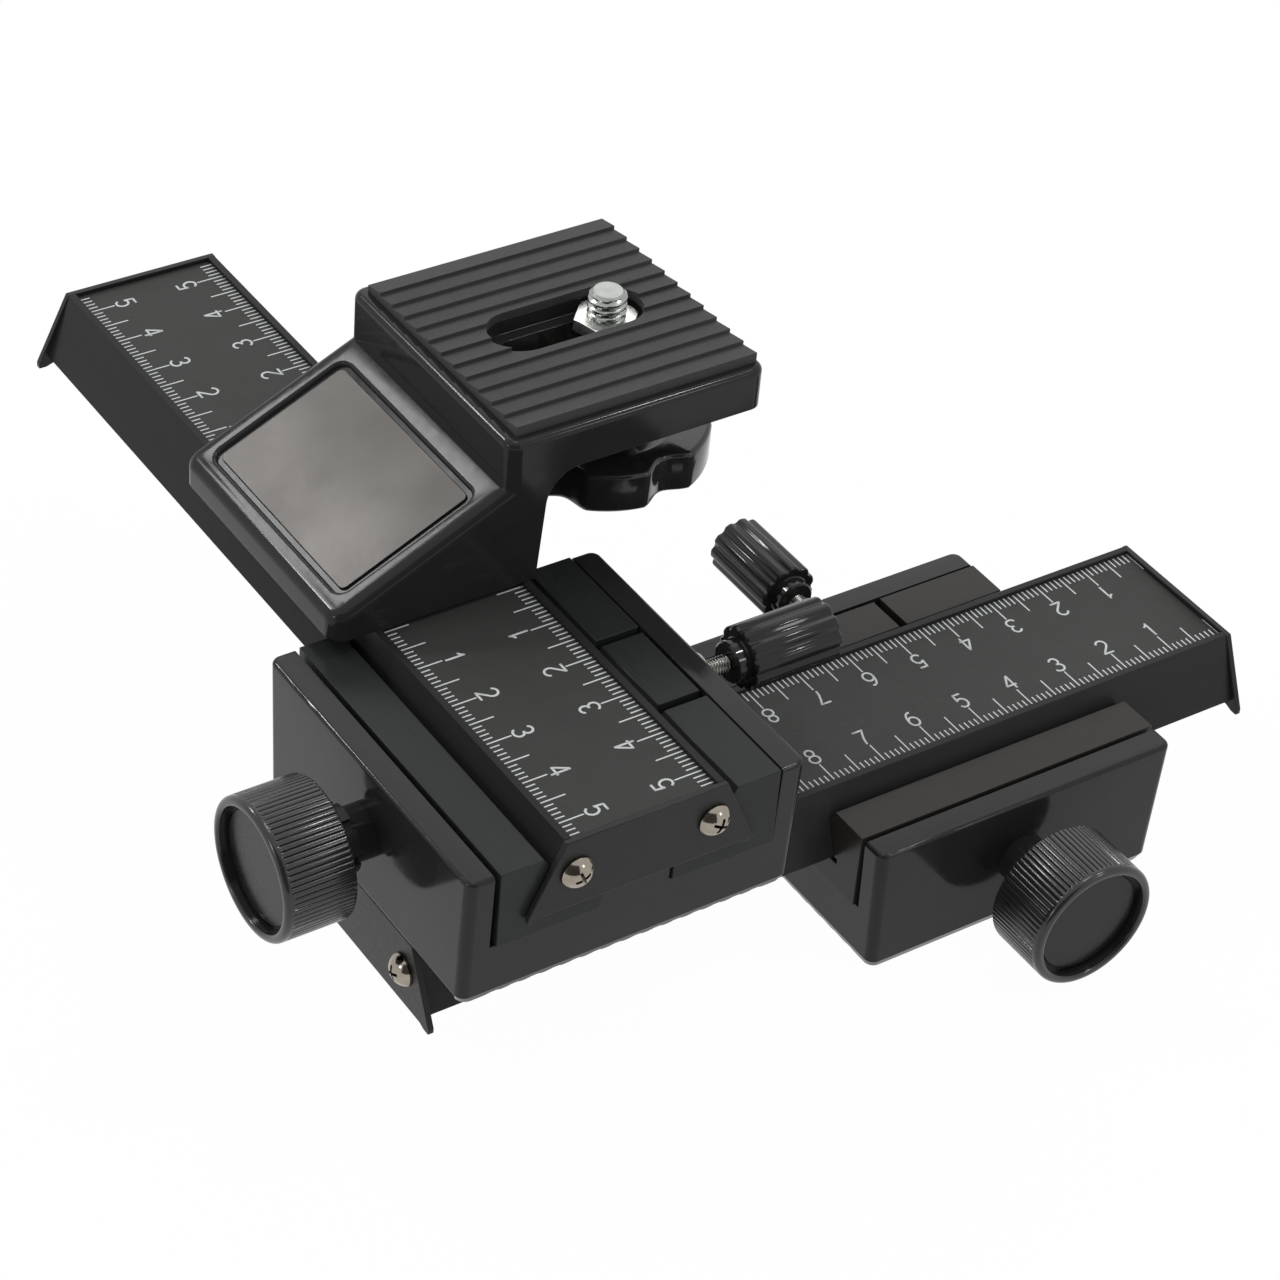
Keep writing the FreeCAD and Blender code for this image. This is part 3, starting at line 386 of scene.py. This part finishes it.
# The digits' strokes as upright ribbons, which a modifier thickens. Each row reads from its own side.
def digitRibbons(zero, count, way):
    marks = scaleMarks
    bm = bmesh.new()
    foot = marks["tickOuter"] - marks["longTick"] - marks["digitGap"]
    for number in digitStrokes:
        if number * marks["ticksPerNumber"] > count:
            break
        along = zero + way * marks["tickPitch"] * marks["ticksPerNumber"] * number
        for hand in (-1, 1):
            upright = Matrix.Rotation(0 if hand < 0 else pi, 4, "Z")
            corner = Matrix.Translation((-marks["digitWidth"] / 2, -foot, 0))
            place = Matrix.Translation((along, 0, 0)) @ upright @ corner
            for order, stroke in enumerate(digitStrokes[number]):
                drawn = [(u * marks["digitWidth"], v * marks["digitHeight"], 0) for u, v in stroke]
                path = [bm.verts.new(place @ Vector(point)) for point in drawn]
                line = [bm.edges.new(pair) for pair in zip(path, path[1:])]
                raised = bmesh.ops.extrude_edge_only(bm, edges=line)["geom"]
                top = [g for g in raised if isinstance(g, bmesh.types.BMVert)]
                height = marks["inkHeight"] + order * marks["inkStep"]
                bmesh.ops.translate(bm, vec=(0, 0, height), verts=top)
                ends = [v for v in path + top if len(v.link_edges) == 2]
                bmesh.ops.remove_doubles(bm, verts=ends, dist=mergeWithin)
    return bm


railBar = {"limitAngle": 35, "faceWithin": 0.1, "levelFrom": 0.99}


# The rail is satin outside and matt in its recessed scale face.
def railPiece(side, alongFinish):
    node = side + "_rail"
    bm = nodeShape(node)
    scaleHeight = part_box(node)[1].z / mm - scaleMarks["recess"]
    for face in bm.faces:
        level = face.normal.z > railBar["levelFrom"]
        if level and abs(face.calc_center_median().z - scaleHeight) < railBar["faceWithin"]:
            face.material_index = 1
    piece = makePiece(node + "_finished", bm, bodyOfNode[node], [alongFinish, "scaleFace"],
                      (node,))
    breakEdges(piece, edgeBreak["rail"], railBar["limitAngle"])


for side, scale in railScales.items():
    railPiece(side, scale["finish"])
    low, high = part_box(side + "_rail")
    centre = (low + high) / 2 / mm
    face = high.z / mm - scaleMarks["recess"]
    middle = (0, centre.y, face) if side == "lower" else (centre.x, 0, face)
    place = Matrix.Translation(middle) @ Matrix.Rotation(radians(scale["turn"]), 4, "Z")
    for name, row in scale["rows"].items():
        makePiece(side + name + "_scale_ticks", tickRows(*row), side + "_slide", ["ink"],
                  place=place)
        digits = makePiece(side + name + "_scale_digits", digitRibbons(*row), side + "_slide",
                           ["ink"], place=place)
        thick = digits.modifiers.new("pen width", "SOLIDIFY")
        thick.thickness = scaleMarks["digitStroke"] * mm
        thick.offset = 0
        thick.use_even_offset = True
        thick.use_quality_normals = True
print("rails finished and scales printed")


# Moves a point in or out to a radius about Z.
def setRadius(v, radius):
    now = hypot(v.co.x, v.co.y)
    v.co.x *= radius / now
    v.co.y *= radius / now


# The big focus knobs: fine ribs, a smooth rim in front of them and a recess for the face. The ribs begin
# on the rounded back edge and fade out in front, with one row between that has a share of their depth.
focusKnob = {"ribs": 78, "perRib": 8, "ribDepth": 0.3, "ribRoundness": 2.6, "ribsBegin": 0.48,
             "fadeLength": 0.45, "fadeRow": 0.15, "fadeShare": 0.55, "smoothRim": 1.1, "rimRound": 0.9,
             "backRound": 0.6, "recessRadius": 9.9, "recessDepth": 2.4}


def focusKnobShape(length, radius):
    k = focusKnob
    ribEnd = length - k["smoothRim"]
    outline = [(0, 0), (radius - k["backRound"], 0)]
    outline += outlineArc(radius - k["backRound"], k["backRound"], k["backRound"], -90, 0, 3)[1:]
    outline += [(radius, ribEnd - k["fadeLength"]), (radius, ribEnd - k["fadeRow"]), (radius, ribEnd)]
    outline += outlineArc(radius - k["rimRound"], length - k["rimRound"], k["rimRound"], 0, 90, 6)[1:]
    lip = k["rimRound"] / 2
    outline += outlineArc(k["recessRadius"] + lip, length - lip, lip, 90, 180, 4)
    outline += [(k["recessRadius"], length - k["recessDepth"]), (0, length - k["recessDepth"])]
    bm = turnedShape(outline, k["ribs"] * k["perRib"])
    for v in bm.verts:
        r = hypot(v.co.x, v.co.y)
        if r < radius - k["ribsBegin"] or v.co.z > ribEnd - nearly:
            continue
        t = (atan2(v.co.y, v.co.x) / tau * k["ribs"]) % 1 * 2 - 1      # -1 to 1 across one rib
        groove = 1 - sqrt(max(0.0, 1 - abs(t) ** k["ribRoundness"]))
        share = k["fadeShare"] if v.co.z > ribEnd - k["fadeRow"] - nearly else 1.0
        setRadius(v, min(r, radius - k["ribDepth"] * groove * share))
    return bm


# The small lock knobs: a plain hub at the back and a fluted grip.
lockKnob = {"flutes": 11, "perFlute": 14, "fluteDepth": 0.5, "ridgeShare": 0.35, "hollowRoundness": 1.2,
            "hubRadius": 3.5, "hubLength": 2.2, "hubEdge": 0.3, "hubFoot": 0.2, "edge": 0.45,
            "flatBack": 0.3, "flatFront": 1.0}


# How deep a flute cuts at an angle: full ridges with a hollow between each two.
def fluteCut(turn):
    k = lockKnob
    t = abs((turn / tau * k["flutes"]) % 1 * 2 - 1)       # 1 on a ridge's middle, 0 in a hollow's
    if t > 1 - k["ridgeShare"]:
        return 0.0
    return k["fluteDepth"] * cos(t / (1 - k["ridgeShare"]) * pi / 2) ** k["hollowRoundness"]


def lockKnobShape(length, radius):
    k = lockKnob
    edge, hub, back = k["edge"], k["hubRadius"], k["hubLength"]
    inside = radius - k["fluteDepth"]
    outline = [(0, 0), (hub - k["hubEdge"], 0), (hub, k["hubEdge"]), (hub, back - k["hubFoot"])]
    outline += [(hub + k["hubFoot"], back), (inside - k["flatBack"], back)]
    outline += outlineArc(radius - edge, back + edge, edge, -90, 0, 3)
    outline += outlineArc(radius - edge, length - edge, edge, 0, 90, 4)
    outline += [(inside - k["flatFront"], length), (0, length)]
    bm = turnedShape(outline, k["flutes"] * k["perFlute"])
    for v in bm.verts:
        r = hypot(v.co.x, v.co.y)
        if r > inside and v.co.z > back - nearly:
            setRadius(v, r - fluteCut(atan2(v.co.y, v.co.x)))
    return bm


# Screw threads, right-handed. The camera screw has 20 turns to the inch.
lockThread = {"pitch": 0.5, "depth": 0.27, "tip": 0.3, "steps": 28, "perPitch": 6}
cameraThread = {"pitch": 1.27, "depth": 0.62, "tip": 0.8, "steps": 48, "perPitch": 8}
threadForm = {"crest": 1.35, "root": 1.15}      # flat crests and roots on the V


# A bar whose radius follows a V along the helix.
def threadedBar(length, radius, thread):
    rows = int(length / thread["pitch"] * thread["perPitch"])
    outline = [(0, 0)] + [(radius, length * i / rows) for i in range(rows + 1)] + [(0, length)]
    bm = turnedShape(outline, thread["steps"])
    for v in bm.verts:
        if hypot(v.co.x, v.co.y) < radius / 2:
            continue
        t = (v.co.z / thread["pitch"] - atan2(v.co.y, v.co.x) / tau) % 1
        valley = max(0.0, 1 - abs(t * 2 - 1) * threadForm["crest"])
        cut = radius - thread["depth"] * min(1.0, valley * threadForm["root"])
        tip = radius - thread["tip"]
        setRadius(v, min(cut, tip + (length - v.co.z), tip + v.co.z))
    return bm


for side, out, lockOut in (("lower", (0, -1, 0), (0, 1, 0)), ("upper", (-1, 0, 0), (1, 0, 0))):
    place, length, radius = seatOf(side + "_focus_knob", out)
    makePiece(side + "_focus_knob_ribbed", focusKnobShape(length, radius), side + "_drive",
              ["knob"], (side + "_focus_knob",), place)
    place, length, radius = seatOf(side + "_lock_knob", lockOut)
    makePiece(side + "_lock_knob_fluted", lockKnobShape(length, radius), side + "_lock_grip",
              ["gloss"], (side + "_lock_knob",), place)
    place, length, radius = seatOf(side + "_lock_screw", lockOut)
    makePiece(side + "_lock_screw_threaded", threadedBar(length, radius, lockThread), side + "_lock_grip",
              ["zinc"], (side + "_lock_screw",), place)
print("knobs turned and ribbed")

place, length, radius = seatOf("camera_screw", (0, 0, 1))
makePiece("camera_screw_threaded", threadedBar(length, radius, cameraThread), "camera_wheel",
          ["zinc"], ("camera_screw",), place)

# The wheel under the platform: round lobes, a dish inside its rim and a tall hub.
lobedWheel = {"radius": 18.5, "height": 7.4, "steps": 240, "lobes": 6, "lobeAngle": 30, "phase": 7.5,
              "valley": 2.4, "valleyRoundness": 1.3, "edge": 0.9, "flatBelow": 4.5, "rim": 2.6,
              "rimFlat": 0.4, "rimEdge": 0.5, "dish": 1.4, "dishIn": 0.6, "dishRound": 0.8,
              "hubRadius": 6.5, "hubEdge": 0.3}


def lobedWheelShape(length):
    w = lobedWheel
    height, edge, radius, hub = w["height"], w["edge"], w["radius"], w["hubRadius"]
    rimInside = radius - w["valley"] - w["rim"]
    dishWall = rimInside - w["dishIn"]
    rimEdge, dishRound, hubEdge = w["rimEdge"], w["dishRound"], w["hubEdge"]
    dishCentre = height - w["dish"] + dishRound
    outline = [(0, 0), (radius - w["flatBelow"], 0)] + outlineArc(radius - edge, edge, edge, -90, 0, 4)
    outline += outlineArc(radius - edge, height - edge, edge, 0, 90, 5)
    outline += [(rimInside + w["rimFlat"], height)]
    outline += outlineArc(dishWall + rimEdge, height - rimEdge, rimEdge, 90, 180, 3)[1:]
    outline += outlineArc(dishWall - dishRound, dishCentre, dishRound, 0, -90, 3)
    outline += outlineArc(hub + dishRound, dishCentre, dishRound, -90, -180, 3)
    outline += [(hub, length - hubEdge), (hub - hubEdge, length), (0, length)]
    bm = turnedShape(outline, w["steps"])
    step = 360 / w["lobes"]
    half = (1 - w["lobeAngle"] / step) / 2
    for v in bm.verts:
        r = hypot(v.co.x, v.co.y)
        t = ((degrees(atan2(v.co.y, v.co.x)) - w["phase"]) / step) % 1 - 0.5      # 0 in a hollow's middle
        if r > radius - w["valley"] and abs(t) < half:
            setRadius(v, r - w["valley"] * cos(t / half * pi / 2) ** w["valleyRoundness"])
    return bm


low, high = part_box("thumbwheel")
screwLow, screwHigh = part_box("camera_screw")
wheelAxis = (screwLow + screwHigh) / 2 / mm
# the wheel's lighter phenolic is painted light, which lifts it in the shade under the platform
makePiece("thumbwheel_lobed", lobedWheelShape((high.z - low.z) / mm), "camera_wheel",
          ["wheel"], ("thumbwheel",), Matrix.Translation((wheelAxis.x, wheelAxis.y, low.z / mm)))
print("camera screw and wheel made")

# The end plates' pan-head screws, with a cross recess that narrows to its foot. Each screw was tightened
# to another turn, in degrees.
panHead = {"radius": 2.75, "height": 2.1, "edge": 0.4, "chamfer": 0.1, "steps": 48, "shankRadius": 1.25,
           "shankLength": 2.5, "slotWidth": 0.52, "slotReach": 1.5, "slotDepth": 1.6, "cutterAbove": 0.4,
           "footReach": 0.35, "mouthReach": 1.15, "footWidth": 0.75, "mouthWidth": 1.05,
           "turns": (20, 65, 48, 5), "sharpAngle": 28}


def panHeadShape():
    h = panHead
    rise = h["height"] - h["edge"]
    dome = (h["radius"] ** 2 + rise ** 2) / (2 * rise)
    reach = degrees(atan2(h["radius"], dome - rise))
    outline = [(0, -h["shankLength"]), (h["shankRadius"], -h["shankLength"]), (h["shankRadius"], 0)]
    outline += [(h["radius"] - h["chamfer"], 0), (h["radius"], h["chamfer"])]
    outline += outlineArc(0, h["height"] - dome, dome, 90 - reach, 90, 10)
    outline[-1] = (0, h["height"])
    head = bpy.data.meshes.new("head")
    bm = turnedShape(outline, h["steps"])
    bm.to_mesh(head)
    bm.free()
    cutter = bpy.data.meshes.new("cutter")
    bm = bmesh.new()
    for turn in (0, pi / 2):
        bar = bmesh.ops.create_cube(bm, size=1)["verts"]
        for v in bar:
            deep = v.co.z < 0
            v.co.x *= 2 * h["slotReach"] * (h["footReach"] if deep else h["mouthReach"])
            v.co.y *= h["slotWidth"] * (h["footWidth"] if deep else h["mouthWidth"])
            v.co.z = h["height"] + (-h["slotDepth"] if deep else h["cutterAbove"])
        bmesh.ops.rotate(bm, cent=(0, 0, 0), matrix=Matrix.Rotation(turn, 3, "Z"), verts=bar)
    bm.to_mesh(cutter)
    bm.free()
    headObject = bpy.data.objects.new("head", head)
    cutterObject = bpy.data.objects.new("cutter", cutter)
    for made in (headObject, cutterObject):
        bpy.context.scene.collection.objects.link(made)
    recess = headObject.modifiers.new("recess", "BOOLEAN")
    recess.operation = "DIFFERENCE"
    recess.object = cutterObject
    recess.use_self = True
    bpy.context.view_layer.update()
    graph = bpy.context.evaluated_depsgraph_get()
    drilled = bpy.data.meshes.new_from_object(headObject.evaluated_get(graph))
    for made in (headObject, cutterObject):
        bpy.data.objects.remove(made)
    return drilled


drilled = panHeadShape()
alongX, alongY = Vector((1, 0, 0)), Vector((0, 1, 0))
for side, axis, across in (("lower", alongX, alongY), ("upper", alongY, alongX)):
    low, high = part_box(side + "_end_screws")
    centre = (low + high) / 2 / mm
    half = (high - low) / 2 / mm
    bm = bmesh.new()
    for crossTurn, (end, hand) in zip(panHead["turns"], ((-1, -1), (-1, 1), (1, -1), (1, 1))):
        spot = centre + axis * end * (abs(half.dot(axis)) - panHead["height"])
        spot = spot + across * hand * (abs(half.dot(across)) - panHead["radius"])
        turn = (axis * end).to_track_quat("Z", "Y").to_matrix().to_4x4()
        one = bmesh.new()
        one.from_mesh(drilled)
        bmesh.ops.transform(one, verts=one.verts, matrix=Matrix.Translation(spot) @ turn
                            @ Matrix.Rotation(radians(crossTurn), 4, "Z"))
        placed = bpy.data.meshes.new("placed")
        one.to_mesh(placed)
        one.free()
        bm.from_mesh(placed)
        bpy.data.meshes.remove(placed)
    makePiece(side + "_end_screws_crossed", bm, side + "_slide", ["nickel"],
              (side + "_end_screws",), sharpAngle=panHead["sharpAngle"])
bpy.data.meshes.remove(drilled)
print("end screws made")

# These nodes keep their own mesh and only get a finish.
plainFinish = {"lower_rack": "steel", "upper_rack": "steel", "lower_gib_screws": "steel",
               "upper_gib_screws": "steel", "carriage_screws": "steel", "bracket_screws": "steel",
               "lower_pinion_shaft": "steel", "upper_pinion_shaft": "steel", "tripod_socket": "brass",
               "wheel_washer": "nylon"}
for node, finish in plainFinish.items():
    for each in frame["nodes"][node].material_slots:
        each.material = materials[finish]

# The studio, in metres: white paper under the object and a white room around it.
studio = {"paper": "#f4f4f4", "paperHalf": 6, "paperBelow": 0.0003, "paperWhite": 0.98, "room": 0.64}
plainWhite = (1, 1, 1, 1)
low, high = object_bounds()
middle = (low + high) / 2


# How white a surface is where the camera, a mirror or glass sees it. It gives no light to anything else.
def whiteTo(tree, strength):
    path = addNode(tree, "ShaderNodeLightPath").outputs
    seen = path["Is Camera Ray"]
    for kind in ("Is Glossy Ray", "Is Transmission Ray"):
        seen = addNode(tree, "ShaderNodeMath", {0: seen, 1: path[kind]}, operation="MAXIMUM").outputs[0]
    return addNode(tree, "ShaderNodeMath", {0: seen, 1: strength}, operation="MULTIPLY").outputs[0]


# A square sheet for the studio.
def studioSheet(name, half, finish):
    mesh = bpy.data.meshes.new(name)
    bm = bmesh.new()
    bmesh.ops.create_grid(bm, x_segments=1, y_segments=1, size=half)
    bm.to_mesh(mesh)
    bm.free()
    mesh.materials.append(finish)
    sheet = bpy.data.objects.new(name, mesh)
    bpy.context.scene.collection.objects.link(sheet)
    return sheet


# Stands a sheet or a lamp off in a direction, turned to face the object.
def facingObject(stand, front):
    spot = middle + Vector(stand["toward"]).normalized() * stand["away"]
    return Matrix.Translation(spot) @ (middle - spot).to_track_quat(front, "Y").to_matrix().to_4x4()


paper = newMaterial("studio_paper")
tree = paper.node_tree
matt = addNode(tree, "ShaderNodeBsdfDiffuse", {"Color": toLinear(studio["paper"])})
glow = addNode(tree, "ShaderNodeEmission", {"Color": plainWhite, "Strength": 1.0})
finishMaterial(paper, addNode(tree, "ShaderNodeMixShader", {0: whiteTo(tree, studio["paperWhite"]),
                                                           1: matt.outputs[0], 2: glow.outputs[0]}))
floorObject = studioSheet("floor", studio["paperHalf"], paper)
floorObject.matrix_world = Matrix.Translation((0, 0, low.z - studio["paperBelow"]))

world = bpy.data.worlds.new("studio")
bpy.context.scene.world = world
world.use_nodes = True
tree = world.node_tree
tree.nodes.clear()
room = addNode(tree, "ShaderNodeBackground", {"Color": plainWhite, "Strength": studio["room"]})
white = addNode(tree, "ShaderNodeBackground", {"Color": plainWhite, "Strength": 1.0})
mixed = addNode(tree, "ShaderNodeMixShader", {0: whiteTo(tree, 1.0), 1: room.outputs[0],
                                             2: white.outputs[0]})
addNode(tree, "ShaderNodeOutputWorld", {"Surface": mixed.outputs[0]})

# A grey card beside the camera, seen only in reflections: it gives plated and glossy pieces a darker side.
flag = {"colour": "#5a5a5a", "toward": (-0.55, -0.8, 0.25), "away": 0.6, "size": 0.8}
cloth = newMaterial("flag_cloth")
finishMaterial(cloth, addNode(cloth.node_tree, "ShaderNodeBsdfDiffuse", {"Color": toLinear(flag["colour"])}))
flagObject = studioSheet("flag", flag["size"] / 2, cloth)
flagObject.matrix_world = facingObject(flag, "Z")
for kind in ("camera", "diffuse", "shadow", "transmission", "volume_scatter"):
    setattr(flagObject, "visible_" + kind, False)

# Square lamps, each placed for the faces that mirror it to the camera.
lamps = {
    "overhead": {"toward": (0.1, 0.1, 1.0), "away": 0.9, "size": 0.2, "power": 0.9},
    "right": {"toward": (0.47, -0.22, 0.86), "away": 1.0, "size": 0.08, "power": 1.3},
    "left": {"toward": (-1.0, -0.1, 0.4), "away": 1.0, "size": 0.12, "power": 0.8},
    "behind": {"toward": (-0.42, 0.63, 0.65), "away": 1.0, "size": 0.09, "power": 1.4},
    "sheen": {"toward": (-0.28, 0.67, 0.69), "away": 1.09, "size": 0.16, "power": 1.1},
    "far": {"toward": (0.45, 0.58, 0.68), "away": 1.0, "size": 0.6, "power": 0.8},
    "front": {"toward": (0.47, -0.76, 0.48), "away": 1.0, "size": 0.14, "power": 0.6},
}
for name, lamp in lamps.items():
    light = bpy.data.lights.new(name, "AREA")
    light.size = lamp["size"]
    light.energy = lamp["power"]
    holder = bpy.data.objects.new(name, light)
    bpy.context.scene.collection.objects.link(holder)
    holder.matrix_world = facingObject(lamp, "-Z")

# The camera's place and axes, fitted to the printed scales.
cameraView = {"place": (-0.322460, -0.356909, 0.408635), "right": (0.834816, -0.545619, 0.073370),
              "up": (0.291735, 0.551458, 0.781528), "forward": (0.466876, 0.631027, -0.619541),
              "lens": 104.9075, "sensor": 36, "clipStart": 0.01}
cameraData = bpy.data.cameras.new("camera")
cameraData.lens = cameraView["lens"]
cameraData.sensor_width = cameraView["sensor"]
cameraData.clip_start = cameraView["clipStart"]
camera = bpy.data.objects.new("camera", cameraData)
bpy.context.scene.collection.objects.link(camera)
axes = Matrix((cameraView["right"], cameraView["up"], -Vector(cameraView["forward"]))).transposed()
camera.matrix_world = Matrix.Translation(cameraView["place"]) @ axes.to_4x4()
bpy.context.scene.camera = camera
bpy.context.scene.view_settings.view_transform = "Standard"
print("floor, light and camera set")
